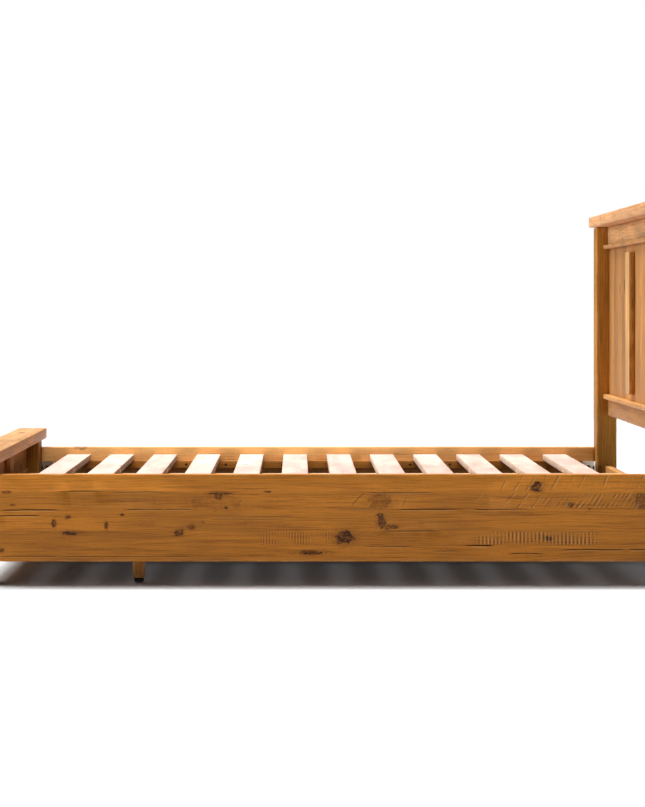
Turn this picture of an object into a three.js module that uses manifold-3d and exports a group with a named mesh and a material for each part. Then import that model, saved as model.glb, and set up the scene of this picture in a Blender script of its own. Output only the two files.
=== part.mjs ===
// A king-size bed frame in rustic pine: panelled headboard, low footboard, two deep side rails,
// twelve loose slats on ledgers, a centre beam, and three support legs on screw-in glides.
// Millimetres, +Z up, origin on the floor under the middle of the bed. The head is at +X, the
// foot at -X, and left (+Y) and right (-Y) are those of someone who lies in the bed.
import * as THREE from "three";
import { mergeVertices } from "three/addons/utils/BufferGeometryUtils.js";
import Module from "manifold-3d";

// Driving dimensions
const GAP = 0.3; // between pieces that touch
const BED_LENGTH = 2000; // between the posts, head to foot
const BED_WIDTH = 1600; // over the side rails
const POST = { thick: 72, wide: 110 };
const CAP = { overhang: 16, thick: 39, chamfer: 4 };
const HEAD_HEIGHT = 1168;
const FOOT_HEIGHT = 404;
const EDGE = 2.5; // eased edge of a planed board

const SIDE_RAIL = { bottom: 71, height: 266, thick: 38 };
const LEDGER = { height: 28, thick: 25, length: 1900 };
const SLAT = { count: 12, wide: 86, thick: 22, pitch: 156, firstCentre: -862, top: 311.3, endGap: 3 };
const BEAM = { wide: 45, height: 70 };
const HANGER = { sheet: 2.5, seat: 42, height: 48, flange: 22 };

const LEG = { side: 37, bottom: 15.3, bore: 4.6, boreDepth: 62, x: -560 };
const STUD = { radius: 4, bottom: 9, top: 62 };
const PAD = { radius: 15, bottom: 3, top: 15, floor: 8.7, socket: 4.3 };

const PANEL = { recess: 44, thick: 14, groove: 10, boards: 11 };
const HEAD_TOP_RAIL = { bottom: 1065, recess: 38, thick: 32 };
const HEAD_BOTTOM_RAIL = { bottom: 453, top: 513, recess: 38, thick: 32 };
const HEAD_LOWER_RAIL = { bottom: 124, top: 274, recess: 30, thick: 25 };
const BEAD = { recess: 22, topHeight: 15, bottomHeight: 18, chamfer: 3 };
const MUNTIN = { wide: 104, recess: 24, endGap: 22 };
const FOOT_RAIL = { bottom: 75, top: 268, recess: 36, thick: 34 };

const BRACKET = { leaf: 42, sheet: 3, height: 130, top: 286, holeRadius: 3.5, holes: 3 };

const halfLength = BED_LENGTH / 2;
const halfWidth = BED_WIDTH / 2;
const postInnerY = halfWidth - POST.wide;
const railInnerY = halfWidth - SIDE_RAIL.thick;
const railTop = SIDE_RAIL.bottom + SIDE_RAIL.height;
const ledgerTop = SLAT.top - SLAT.thick - GAP;
const ledgerInnerY = railInnerY - LEDGER.thick;
const headPostTop = HEAD_HEIGHT - CAP.thick;
const footPostTop = FOOT_HEIGHT - CAP.thick;

const waxedPine = new THREE.MeshStandardMaterial({ color: "#b47a3e", roughness: 0.55 });
const barePine = new THREE.MeshStandardMaterial({ color: "#f3dfc2", roughness: 0.75 });
const zincSteel = new THREE.MeshStandardMaterial({ color: "#cfc8b4", roughness: 0.4, metalness: 1 });
const blackPlastic = new THREE.MeshStandardMaterial({ color: "#141312", roughness: 0.5 });

const bed = new THREE.Group();
const wasm = await Module();
wasm.setup();

function piece(name, geometry, material) {
  const mesh = new THREE.Mesh(geometry, material);
  mesh.name = name;
  bed.add(mesh);
  return mesh;
}

// A straight length of timber whose section is an outline. For a length along Z the outline is in
// (X, Y), along X in (Y, Z), and along Y in (Z, X), so that each is a right-handed frame.
function length(name, axis, outline, start, end, material) {
  const shape = new THREE.Shape(outline.map(([a, b]) => new THREE.Vector2(a, b)));
  const geometry = new THREE.ExtrudeGeometry(shape, { depth: end - start, bevelEnabled: false });
  const mesh = piece(name, geometry, material);
  const unit = [0, 1, 2].map((i) => new THREE.Vector3().setComponent(i, 1));
  const basis = new THREE.Matrix4().makeBasis(unit[(axis + 1) % 3], unit[(axis + 2) % 3], unit[axis]);
  mesh.quaternion.setFromRotationMatrix(basis);
  mesh.position.setComponent(axis, start);
  return mesh;
}

// A rectangle with its four corners cut off, counter-clockwise.
function eased([a0, a1], [b0, b1], c) {
  return [
    [a0 + c, b0], [a1 - c, b0], [a1, b0 + c], [a1, b1 - c],
    [a1 - c, b1], [a0 + c, b1], [a0, b1 - c], [a0, b0 + c],
  ];
}

// A plain board: spans give its lowest and highest X, Y and Z, and the edges along its length
// are eased.
function board(name, axis, spans, material, chamfer = EDGE) {
  const outline = eased(spans[(axis + 1) % 3], spans[(axis + 2) % 3], chamfer);
  return length(name, axis, outline, ...spans[axis], material);
}

const ALONG_X = 0;
const ALONG_Y = 1;
const ALONG_Z = 2;

// Spans on the head side (+1) or foot side (-1) of the bed: distances outward from the posts'
// inner faces become X.
function outward(end, near, far) {
  const xs = [end * (halfLength + near), end * (halfLength + far)];
  return xs.sort((a, b) => a - b);
}

function solid(geometry, x = 0, y = 0, z = 0) {
  const bare = geometry.clone().translate(x, y, z);
  bare.deleteAttribute("normal");
  bare.deleteAttribute("uv");
  const merged = mergeVertices(bare, 1e-4);
  return new wasm.Manifold(
    new wasm.Mesh({
      numProp: 3,
      vertProperties: merged.attributes.position.array,
      triVerts: new Uint32Array(merged.index.array),
    }),
  );
}

function geometryOf(manifold) {
  const { vertProperties, triVerts } = manifold.getMesh();
  const geometry = new THREE.BufferGeometry();
  geometry.setAttribute("position", new THREE.BufferAttribute(vertProperties, 3));
  geometry.setIndex(new THREE.BufferAttribute(triVerts, 1));
  const flat = geometry.toNonIndexed();
  flat.computeVertexNormals();
  return flat;
}

// The two posts, and the cap board that lies across them, at the head or the foot.
function postsAndCap(prefix, end, postTop) {
  for (const [side, s] of [["left", 1], ["right", -1]]) {
    const y = [s * postInnerY, s * halfWidth].sort((a, b) => a - b);
    board(`${prefix}_post_${side}`, ALONG_Z, [outward(end, 0, POST.thick), y, [0, postTop]], waxedPine);
  }
  const x = outward(end, -CAP.overhang, POST.thick + CAP.overhang);
  const y = [-halfWidth - CAP.overhang, halfWidth + CAP.overhang];
  const z = [postTop + GAP, postTop + CAP.thick];
  board(`${prefix}_cap`, ALONG_Y, [x, y, z], waxedPine, CAP.chamfer);
}

// A cross rail between the two posts. A groove in the edge that faces the panel holds the
// boards: grooveEdge is 1 in the top edge, -1 in the bottom edge, and 0 for no groove.
function crossRail(name, end, { bottom, top, recess, thick }, grooveEdge) {
  const [x0, x1] = outward(end, recess, recess + thick);
  const outline = eased([bottom, top], [x0, x1], EDGE);
  if (grooveEdge) {
    const [g0, g1] = outward(end, PANEL.recess - GAP, PANEL.recess + PANEL.thick + GAP);
    const edge = grooveEdge > 0 ? top : bottom;
    const depth = edge - grooveEdge * (PANEL.groove + GAP);
    const slot = [[edge, g0], [depth, g0], [depth, g1], [edge, g1]];
    if (grooveEdge > 0) outline.splice(3, 0, ...slot);
    else outline.splice(7, 0, ...slot.reverse());
  }
  const halfSpan = postInnerY - GAP;
  length(name, ALONG_Y, outline, -halfSpan, halfSpan, waxedPine);
}

function headboard() {
  postsAndCap("head", 1, headPostTop);
  crossRail("head_top_rail", 1, { ...HEAD_TOP_RAIL, top: headPostTop }, -1);
  crossRail("head_bottom_rail", 1, HEAD_BOTTOM_RAIL, 1);
  crossRail("head_lower_rail", 1, HEAD_LOWER_RAIL, 0);
  headPanelBoards();
  headMouldings();
}

// Eleven upright boards, edge to edge, held in the grooves of the top and bottom rails.
function headPanelBoards() {
  const pitch = (2 * postInnerY) / PANEL.boards;
  const x = outward(1, PANEL.recess, PANEL.recess + PANEL.thick);
  const z = [HEAD_BOTTOM_RAIL.top - PANEL.groove, HEAD_TOP_RAIL.bottom + PANEL.groove];
  for (let i = 0; i < PANEL.boards; i++) {
    const y0 = -postInnerY + i * pitch;
    const name = `head_board_${String(i + 1).padStart(2, "0")}`;
    board(name, ALONG_Z, [x, [y0 + GAP / 2, y0 + pitch - GAP / 2], z], waxedPine, 1.5);
  }
}

// A bead along the top and bottom of the panel, and the upright muntin over its middle.
function headMouldings() {
  const x = outward(1, BEAD.recess, PANEL.recess - GAP);
  const y = [-postInnerY + GAP, postInnerY - GAP];
  const topBead = [HEAD_TOP_RAIL.bottom - BEAD.topHeight, HEAD_TOP_RAIL.bottom - GAP];
  const bottomBead = [HEAD_BOTTOM_RAIL.top + GAP, HEAD_BOTTOM_RAIL.top + BEAD.bottomHeight];
  board("head_bead_top", ALONG_Y, [x, y, topBead], waxedPine, BEAD.chamfer);
  board("head_bead_bottom", ALONG_Y, [x, y, bottomBead], waxedPine, BEAD.chamfer);
  const muntinX = outward(1, MUNTIN.recess, PANEL.recess - GAP);
  const muntinY = [-MUNTIN.wide / 2, MUNTIN.wide / 2];
  const muntinZ = [bottomBead[1] + MUNTIN.endGap, topBead[0] - MUNTIN.endGap];
  board("head_muntin", ALONG_Z, [muntinX, muntinY, muntinZ], waxedPine);
}

function footboard() {
  postsAndCap("foot", -1, footPostTop);
  crossRail("foot_rail", -1, FOOT_RAIL, 1);
  const panelX = outward(-1, PANEL.recess, PANEL.recess + PANEL.thick);
  const panelY = [-postInnerY + GAP, postInnerY - GAP];
  const panelZ = [FOOT_RAIL.top - PANEL.groove, footPostTop];
  board("foot_panel", ALONG_Y, [panelX, panelY, panelZ], waxedPine, 1.5);
  const muntinX = outward(-1, MUNTIN.recess, PANEL.recess - GAP);
  const muntinY = [-MUNTIN.wide / 2, MUNTIN.wide / 2];
  board("foot_muntin", ALONG_Z, [muntinX, muntinY, [FOOT_RAIL.top + GAP, footPostTop]], waxedPine);
}

// Each side rail is one deep plank between the posts, with a ledger along its inner face.
function sideRails() {
  for (const [side, s] of [["left", 1], ["right", -1]]) {
    const across = (a, b) => [s * a, s * b].sort((p, q) => p - q);
    const x = [-halfLength + GAP, halfLength - GAP];
    const railY = across(railInnerY, halfWidth);
    board(`side_rail_${side}`, ALONG_X, [x, railY, [SIDE_RAIL.bottom, railTop]], waxedPine);
    const ledgerX = [-LEDGER.length / 2, LEDGER.length / 2];
    const ledgerY = across(ledgerInnerY, railInnerY - GAP);
    const ledgerZ = [ledgerTop - LEDGER.height, ledgerTop];
    board(`slat_ledger_${side}`, ALONG_X, [ledgerX, ledgerY, ledgerZ], waxedPine, 1.5);
  }
}

function slats() {
  const y = [-railInnerY + SLAT.endGap, railInnerY - SLAT.endGap];
  for (let i = 0; i < SLAT.count; i++) {
    const centre = SLAT.firstCentre + i * SLAT.pitch;
    const x = [centre - SLAT.wide / 2, centre + SLAT.wide / 2];
    const name = `slat_${String(i + 1).padStart(2, "0")}`;
    board(name, ALONG_Y, [x, y, [SLAT.top - SLAT.thick, SLAT.top]], barePine);
  }
}

// The beam under the middle of the slats, and the steel hanger that holds each of its ends. Its
// foot end stops short of the footboard's muntin, which stands above the foot rail.
function centreBeam() {
  const headFace = halfLength + HEAD_LOWER_RAIL.recess;
  const footFace = -halfLength - FOOT_RAIL.recess;
  const footEnd = -halfLength - MUNTIN.recess + 2 * GAP;
  const headEnd = headFace - HANGER.sheet - 2 * GAP;
  const z = [ledgerTop - BEAM.height, ledgerTop];
  const y = [-BEAM.wide / 2, BEAM.wide / 2];
  board("centre_beam", ALONG_X, [[footEnd, headEnd], y, z], waxedPine);
  hanger("beam_hanger_head", headFace - GAP, -1, z[0] - GAP);
  hanger("beam_hanger_foot", footFace + GAP, 1, z[0] - GAP);
}

// Bent sheet: a back plate on the rail with a flange on each side, and a seat open at the top.
function hanger(name, backX, inward, seatZ) {
  const { sheet, seat, height, flange } = HANGER;
  const inside = BEAM.wide + 2 * GAP;
  const bottom = seatZ - sheet;
  const plate = new THREE.BoxGeometry(sheet, inside + 2 * flange, height);
  const shell = new THREE.BoxGeometry(seat, inside + 2 * sheet, height);
  const pocket = new THREE.BoxGeometry(seat, inside, height);
  const middle = bottom + height / 2;
  const made = solid(shell, backX + inward * (seat / 2), 0, middle)
    .add(solid(plate, backX + inward * (sheet / 2), 0, middle))
    .subtract(solid(pocket, backX + inward * (seat / 2 + sheet), 0, middle + sheet));
  piece(name, geometryOf(made), zincSteel);
}

// A square leg with a bore up its middle for the glide's stud.
function leg(place, x, y, top) {
  const { side, bottom, bore, boreDepth } = LEG;
  const outline = eased([-side / 2, side / 2], [-side / 2, side / 2], EDGE);
  const shape = new THREE.Shape(outline.map(([a, b]) => new THREE.Vector2(a, b)));
  const post = new THREE.ExtrudeGeometry(shape, { depth: top - bottom, bevelEnabled: false });
  const hole = new THREE.CylinderGeometry(bore, bore, boreDepth, 24).rotateX(Math.PI / 2);
  const made = solid(post, 0, 0, bottom).subtract(solid(hole, 0, 0, bottom + boreDepth / 2 - 1));
  const mesh = piece(`support_leg_${place}`, geometryOf(made), waxedPine);
  mesh.position.set(x, y, 0);
}

// The glide under a leg: a round plastic pad, with a socket for the steel stud that screws it up
// and down in the leg.
function glide(place, x, y) {
  const { radius, bottom, top, floor, socket } = PAD;
  const profile = [
    [0, bottom], [radius - 4, bottom], [radius - 1.2, bottom + 1.2], [radius, bottom + 4],
    [radius, top - 1], [radius - 1, top], [socket, top], [socket, floor], [0, floor],
  ].map(([r, z]) => new THREE.Vector2(r, z));
  const pad = piece(`glide_pad_${place}`, new THREE.LatheGeometry(profile, 32), blackPlastic);
  pad.rotation.x = Math.PI / 2;
  pad.position.set(x, y, 0);
  const studHeight = STUD.top - STUD.bottom;
  const cylinder = new THREE.CylinderGeometry(STUD.radius, STUD.radius, studHeight, 24);
  const stud = piece(`glide_stud_${place}`, cylinder, zincSteel);
  stud.rotation.x = Math.PI / 2;
  stud.position.set(x, y, (STUD.top + STUD.bottom) / 2);
}

// A leg stands against each ledger under the third slat, and one stands under the centre beam.
function supportLegs() {
  const sideY = ledgerInnerY - GAP - LEG.side / 2;
  const places = [
    ["left", LEG.x, sideY, ledgerTop],
    ["right", LEG.x, -sideY, ledgerTop],
    ["centre", 0, 0, ledgerTop - BEAM.height - GAP],
  ];
  for (const [place, x, y, top] of places) {
    leg(place, x, y, top);
    glide(place, x, y);
  }
}

// An angle bracket in each corner, one leaf on the side rail and one on the post, with a column
// of bolt holes in each leaf.
function cornerBrackets() {
  const { leaf, sheet, height, top, holeRadius, holes } = BRACKET;
  for (const [endName, end] of [["head", 1], ["foot", -1]]) {
    for (const [side, s] of [["left", 1], ["right", -1]]) {
      const cornerX = end * (halfLength - GAP);
      const cornerY = s * (railInnerY - GAP);
      const middleZ = top - height / 2;
      const railLeaf = new THREE.BoxGeometry(leaf, sheet, height);
      const postLeaf = new THREE.BoxGeometry(sheet, leaf, height);
      let made = solid(railLeaf, cornerX - (end * leaf) / 2, cornerY - (s * sheet) / 2, middleZ)
        .add(solid(postLeaf, cornerX - (end * sheet) / 2, cornerY - (s * leaf) / 2, middleZ));
      for (let i = 0; i < holes; i++) {
        const z = middleZ + ((i - (holes - 1) / 2) * height) / holes;
        const drill = new THREE.CylinderGeometry(holeRadius, holeRadius, 4 * sheet, 16);
        const middle = (leaf + sheet) / 2;
        const acrossX = drill.clone().rotateZ(Math.PI / 2);
        made = made
          .subtract(solid(drill, cornerX - end * middle, cornerY, z))
          .subtract(solid(acrossX, cornerX, cornerY - s * middle, z));
      }
      piece(`corner_bracket_${endName}_${side}`, geometryOf(made), zincSteel);
    }
  }
}

headboard();
footboard();
sideRails();
slats();
centreBeam();
supportLegs();
cornerBrackets();

export default bed;
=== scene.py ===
from math import radians

import bpy
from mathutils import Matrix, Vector


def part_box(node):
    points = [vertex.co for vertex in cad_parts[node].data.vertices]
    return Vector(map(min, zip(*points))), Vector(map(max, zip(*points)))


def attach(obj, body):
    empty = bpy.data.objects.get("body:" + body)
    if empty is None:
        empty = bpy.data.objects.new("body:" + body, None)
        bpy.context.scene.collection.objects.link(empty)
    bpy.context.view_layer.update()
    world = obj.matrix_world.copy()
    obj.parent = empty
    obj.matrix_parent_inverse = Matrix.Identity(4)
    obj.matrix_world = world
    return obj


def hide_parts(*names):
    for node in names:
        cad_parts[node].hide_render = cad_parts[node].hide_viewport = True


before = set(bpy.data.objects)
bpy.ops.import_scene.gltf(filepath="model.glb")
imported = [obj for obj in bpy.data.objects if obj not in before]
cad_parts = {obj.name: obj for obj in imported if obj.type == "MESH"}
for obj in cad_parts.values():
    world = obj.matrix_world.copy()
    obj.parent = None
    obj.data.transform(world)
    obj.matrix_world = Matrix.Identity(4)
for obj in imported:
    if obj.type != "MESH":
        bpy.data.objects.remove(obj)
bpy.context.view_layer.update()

bpy.ops.object.select_all(action="DESELECT")

# STUDIO. A plain white floor in white surroundings. A broad sun and a narrow one shine from above,
# from behind the bed and from its foot, a soft light stands past the foot, and a weak one hangs
# over the slats. A net of black gauze under the slats, unseen, holds most of their light back.
bpy.ops.mesh.primitive_plane_add(size=1, location=(0, 0, 0))
floor = bpy.context.object
floor.name = "studio_floor"
floor.scale = (30, 22, 1)
bpy.ops.object.transform_apply(location=True, rotation=False, scale=True)
floor_paint = bpy.data.materials.new("studio_floor_paint")
floor_paint.use_nodes = True
floor_shader = floor_paint.node_tree.nodes["Principled BSDF"]
floor_shader.inputs["Base Color"].default_value = (0.88, 0.92, 0.98, 1)
floor_shader.inputs["Roughness"].default_value = 0.9
floor_shader.inputs["Specular IOR Level"].default_value = 0.1
floor.data.materials.append(floor_paint)

bpy.ops.mesh.primitive_plane_add(size=1, location=(0.06, 0, 0.19))
gauze = bpy.context.object
gauze.name = "studio_gauze"
gauze.scale = (2.10, 1.50, 1)
bpy.ops.object.transform_apply(location=True, rotation=False, scale=True)
gauze.visible_camera = False
gauze.visible_glossy = False
gauze_cloth = bpy.data.materials.new("studio_gauze_cloth")
gauze_cloth.use_nodes = True
gauze_shader = gauze_cloth.node_tree.nodes["Principled BSDF"]
gauze_shader.inputs["Base Color"].default_value = (0.02, 0.02, 0.02, 1)
gauze_shader.inputs["Alpha"].default_value = 0.93
gauze_shader.inputs["Roughness"].default_value = 1.0
gauze.data.materials.append(gauze_cloth)

surroundings = bpy.data.worlds.new("studio_surroundings")
surroundings.use_nodes = True
bpy.context.scene.world = surroundings
sky_nodes, sky_links = surroundings.node_tree.nodes, surroundings.node_tree.links
backdrop = sky_nodes["Background"]
backdrop.inputs["Color"].default_value = (1, 1, 1, 1)
fill_sky = sky_nodes.new("ShaderNodeBackground")
fill_sky.inputs["Color"].default_value = (1.0, 0.985, 0.96, 1)
fill_sky.inputs["Strength"].default_value = 0.10
seen_or_lit = sky_nodes.new("ShaderNodeMixShader")
ray_kind = sky_nodes.new("ShaderNodeLightPath")
sky_links.new(ray_kind.outputs["Is Camera Ray"], seen_or_lit.inputs[0])
sky_links.new(fill_sky.outputs[0], seen_or_lit.inputs[1])
sky_links.new(backdrop.outputs[0], seen_or_lit.inputs[2])
sky_links.new(seen_or_lit.outputs[0], sky_nodes["World Output"].inputs["Surface"])

bpy.ops.object.light_add(type="SUN", location=(-2.5, 0.6, 4))
key = bpy.context.object
key.name = "key_light"
key.data.energy = 3.3
key.data.angle = radians(38)
key.data.color = (1.0, 0.985, 0.96)
key.rotation_euler = Vector((0.42, -0.34, -1.0)).to_track_quat("-Z", "Y").to_euler()

bpy.ops.object.light_add(type="SUN", location=(-1.0, 0.6, 4))
spot = bpy.context.object
spot.name = "small_light"
spot.data.energy = 1.0
spot.data.angle = radians(7)
spot.data.color = (1.0, 0.985, 0.96)
spot.rotation_euler = Vector((0.22, -0.34, -1.0)).to_track_quat("-Z", "Y").to_euler()

for name, place, aim, size, power, spread in (
    ("foot_light", (-3.6, 0.3, 2.7), (1.0, 0.1, 0.75), (2.2, 1.2), 42, 120),
    ("bed_light", (-0.2, -0.1, 1.1), (-0.2, 0.85, 0.3), (1.6, 0.2), 2.4, 80),
):
    bpy.ops.object.light_add(type="AREA", location=place)
    lamp = bpy.context.object
    lamp.name = name
    lamp.data.shape = "RECTANGLE"
    lamp.data.size, lamp.data.size_y = size
    lamp.data.energy = power
    lamp.data.spread = radians(spread)
    lamp.data.color = (1.0, 0.97, 0.93)
    lamp.rotation_euler = (Vector(aim) - Vector(place)).to_track_quat("-Z", "Y").to_euler()

bpy.ops.object.camera_add(location=(-0.078, -9.016, 0.857), rotation=(radians(90), 0, 0))
camera = bpy.context.object
camera.data.lens = 120.7
camera.data.sensor_width = 36
camera.data.shift_x = 0.0325
camera.data.shift_y = -0.1245
camera.data.clip_end = 300
bpy.context.scene.camera = camera
bpy.context.scene.view_settings.view_transform = "Standard"

# SIDE RAILS. Each is one deep plank, edge-glued from five staves of knotty reclaimed pine, sawn
# rough and waxed honey brown. It stands on edge between the posts, and a groove shows where a
# glue line has opened.
STAVE_SEAMS = (0.120, 0.165, 0.231, 0.283)


def roughen(piece, label, group, grain_size, depth, contrast=1.0):
    """Sinks the surface by a cloud pattern, by depth at the most, where the vertex group is."""
    pattern = bpy.data.textures.new(f"{piece.name}_{label}", "CLOUDS")
    pattern.noise_scale = grain_size
    pattern.contrast = contrast
    sink = piece.modifiers.new(label, "DISPLACE")
    sink.texture = pattern
    sink.texture_coords = "LOCAL"
    sink.direction = "NORMAL"
    sink.strength = depth
    sink.mid_level = 1.0
    if group:
        sink.vertex_group = group
    bpy.ops.object.modifier_apply(modifier=label)


def plank(name, low, high, along, ease=0.0025, step=0.03, seams=(), dent=0.0014, sway=0.0006):
    """A sawn board between two corners of a box: eased edges, worn and dented along their length,
    a surface that isn't quite flat, and a groove where a seam is open, given by its start, its end
    and its height. Each vertex keeps how worn it is, and the board's middle, where its grain is
    laid from."""
    bpy.ops.mesh.primitive_cube_add(size=1, location=(low + high) / 2)
    piece = bpy.context.object
    piece.name = name
    piece.scale = high - low
    bpy.ops.object.transform_apply(location=True, rotation=False, scale=True)
    bpy.ops.object.mode_set(mode="EDIT")
    bpy.ops.mesh.select_all(action="SELECT")
    bpy.ops.mesh.bevel(offset=ease, segments=2, affect="EDGES")
    bpy.ops.mesh.select_mode(type="EDGE")
    bpy.ops.mesh.select_all(action="DESELECT")
    bpy.ops.object.mode_set(mode="OBJECT")
    span = high[along] - low[along]
    points = piece.data.vertices
    for edge in piece.data.edges:
        run = points[edge.vertices[0]].co - points[edge.vertices[1]].co
        edge.select = abs(run[along]) > 0.9 * span
    bpy.ops.object.mode_set(mode="EDIT")
    bpy.ops.mesh.subdivide(number_cuts=round(span / step))
    margin = ease + 0.004
    cuts = []
    for axis in {0, 1, 2} - {along}:
        if high[axis] - low[axis] > 4 * margin:
            cuts += [(axis, low[axis] + margin), (axis, high[axis] - margin)]
    for seam in {seam[2] for seam in seams}:
        cuts += [(2, seam - 0.0012), (2, seam), (2, seam + 0.0012)]
    for axis, place in cuts:
        facing = Vector((0, 0, 0))
        facing[axis] = 1
        bpy.ops.mesh.select_all(action="SELECT")
        bpy.ops.mesh.bisect(plane_co=facing * place, plane_no=facing)
    bpy.ops.object.mode_set(mode="OBJECT")
    marks = []
    for vertex in piece.data.vertices:
        gaps = [min(vertex.co[i] - low[i], high[i] - vertex.co[i]) for i in range(3)]
        marks.append(float(sum(gap < ease + 0.0004 for gap in gaps) >= 2))
    worn = piece.data.attributes.new("worn", "FLOAT", "POINT")
    worn.data.foreach_set("value", marks)
    middle = piece.data.attributes.new("middle", "FLOAT_VECTOR", "POINT")
    middle.data.foreach_set("vector", list((low + high) / 2) * len(marks))
    rim = piece.vertex_groups.new(name="rim")
    rim.add([i for i, mark in enumerate(marks) if mark], 1.0, "REPLACE")
    if seams:
        open_joints = piece.vertex_groups.new(name="open_joints")
        for vertex in piece.data.vertices:
            x, z = vertex.co.x, vertex.co.z
            if any(start < x < end and abs(z - height) < 0.0004 for start, end, height in seams):
                open_joints.add([vertex.index], 1.0, "REPLACE")
        roughen(piece, "opened_seams", "open_joints", 0.10, 0.0028, contrast=2.0)
    roughen(piece, "hand_worn", "rim", 0.025, dent, contrast=1.6)
    roughen(piece, "uneven_sawing", "", 0.22, sway)
    bpy.ops.object.shade_smooth_by_angle(angle=radians(40))
    piece.select_set(False)
    return piece


def build(piece, node, material, body="bed_frame"):
    """Gives the finished piece its material and the body that it belongs to, and hides the CAD node that it
    stands in for.
    """
    if material:
        piece.data.materials.append(material)
    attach(piece, body)
    if node:
        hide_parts(node)


def feed(tree, socket, value):
    """Links a socket to the input, or sets the input's own value."""
    if isinstance(value, bpy.types.NodeSocket):
        tree.links.new(value, socket)
    else:
        socket.default_value = value


def calc(tree, operation, *values, clamp=False):
    node = tree.nodes.new("ShaderNodeMath")
    node.operation = operation
    node.use_clamp = clamp
    for socket, value in zip(node.inputs, values):
        feed(tree, socket, value)
    return node.outputs[0]


def vector_calc(tree, operation, *values):
    node = tree.nodes.new("ShaderNodeVectorMath")
    node.operation = operation
    for socket, value in zip(node.inputs, values):
        feed(tree, socket, value)
    return node.outputs["Value" if operation in ("LENGTH", "DOT_PRODUCT") else "Vector"]


def scaled(tree, vector, amount):
    node = tree.nodes.new("ShaderNodeVectorMath")
    node.operation = "SCALE"
    feed(tree, node.inputs["Vector"], vector)
    feed(tree, node.inputs["Scale"], amount)
    return node.outputs["Vector"]


def split(tree, vector):
    node = tree.nodes.new("ShaderNodeSeparateXYZ")
    feed(tree, node.inputs[0], vector)
    return node.outputs


def join(tree, x, y, z):
    node = tree.nodes.new("ShaderNodeCombineXYZ")
    for socket, value in zip(node.inputs, (x, y, z)):
        feed(tree, socket, value)
    return node.outputs[0]


def noise(tree, vector, stretch, detail=2.0, roughness=0.5):
    """Cloud noise of a vector, with stretch as how many clouds there are to a metre."""
    node = tree.nodes.new("ShaderNodeTexNoise")
    feed(tree, node.inputs["Vector"], vector_calc(tree, "MULTIPLY", vector, stretch))
    node.inputs["Scale"].default_value = 1.0
    node.inputs["Detail"].default_value = detail
    node.inputs["Roughness"].default_value = roughness
    return node.outputs["Fac"]


def fade(tree, value, start, end, first=0.0, last=1.0):
    """A smooth step of value from start to end."""
    node = tree.nodes.new("ShaderNodeMapRange")
    node.interpolation_type = "SMOOTHSTEP"
    for label, number in (("From Min", start), ("From Max", end), ("To Min", first), ("To Max", last)):
        feed(tree, node.inputs[label], number)
    feed(tree, node.inputs["Value"], value)
    return node.outputs["Result"]


def blend(tree, amount, under, over, kind="MIX"):
    node = tree.nodes.new("ShaderNodeMix")
    node.data_type = "RGBA"
    node.blend_type = kind
    feed(tree, node.inputs[0], amount)
    feed(tree, node.inputs[6], under)
    feed(tree, node.inputs[7], over)
    return node.outputs[2]


def colour(red, green, blue):
    """A colour given in display values of 0 to 255, as the shaders take it."""
    def linear(value):
        part = value / 255
        return part / 12.92 if part <= 0.04045 else ((part + 0.055) / 1.055) ** 2.4
    return (linear(red), linear(green), linear(blue), 1.0)


def new_group(name, inputs, outputs):
    """A shader node group, with its inputs' sockets and its outputs' sockets by name."""
    tree = bpy.data.node_groups.new(name, "ShaderNodeTree")
    for direction, sockets in (("INPUT", inputs), ("OUTPUT", outputs)):
        for label, kind in sockets:
            tree.interface.new_socket(label, in_out=direction, socket_type=f"NodeSocket{kind}")
    return tree, tree.nodes.new("NodeGroupInput").outputs, tree.nodes.new("NodeGroupOutput").inputs


def use(tree, group, **values):
    """Places a node group; the words of an input's name are joined by an underscore."""
    node = tree.nodes.new("ShaderNodeGroup")
    node.node_tree = group
    for label, value in values.items():
        feed(tree, node.inputs[label.replace("_", " ")], value)
    return node.outputs


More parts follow.
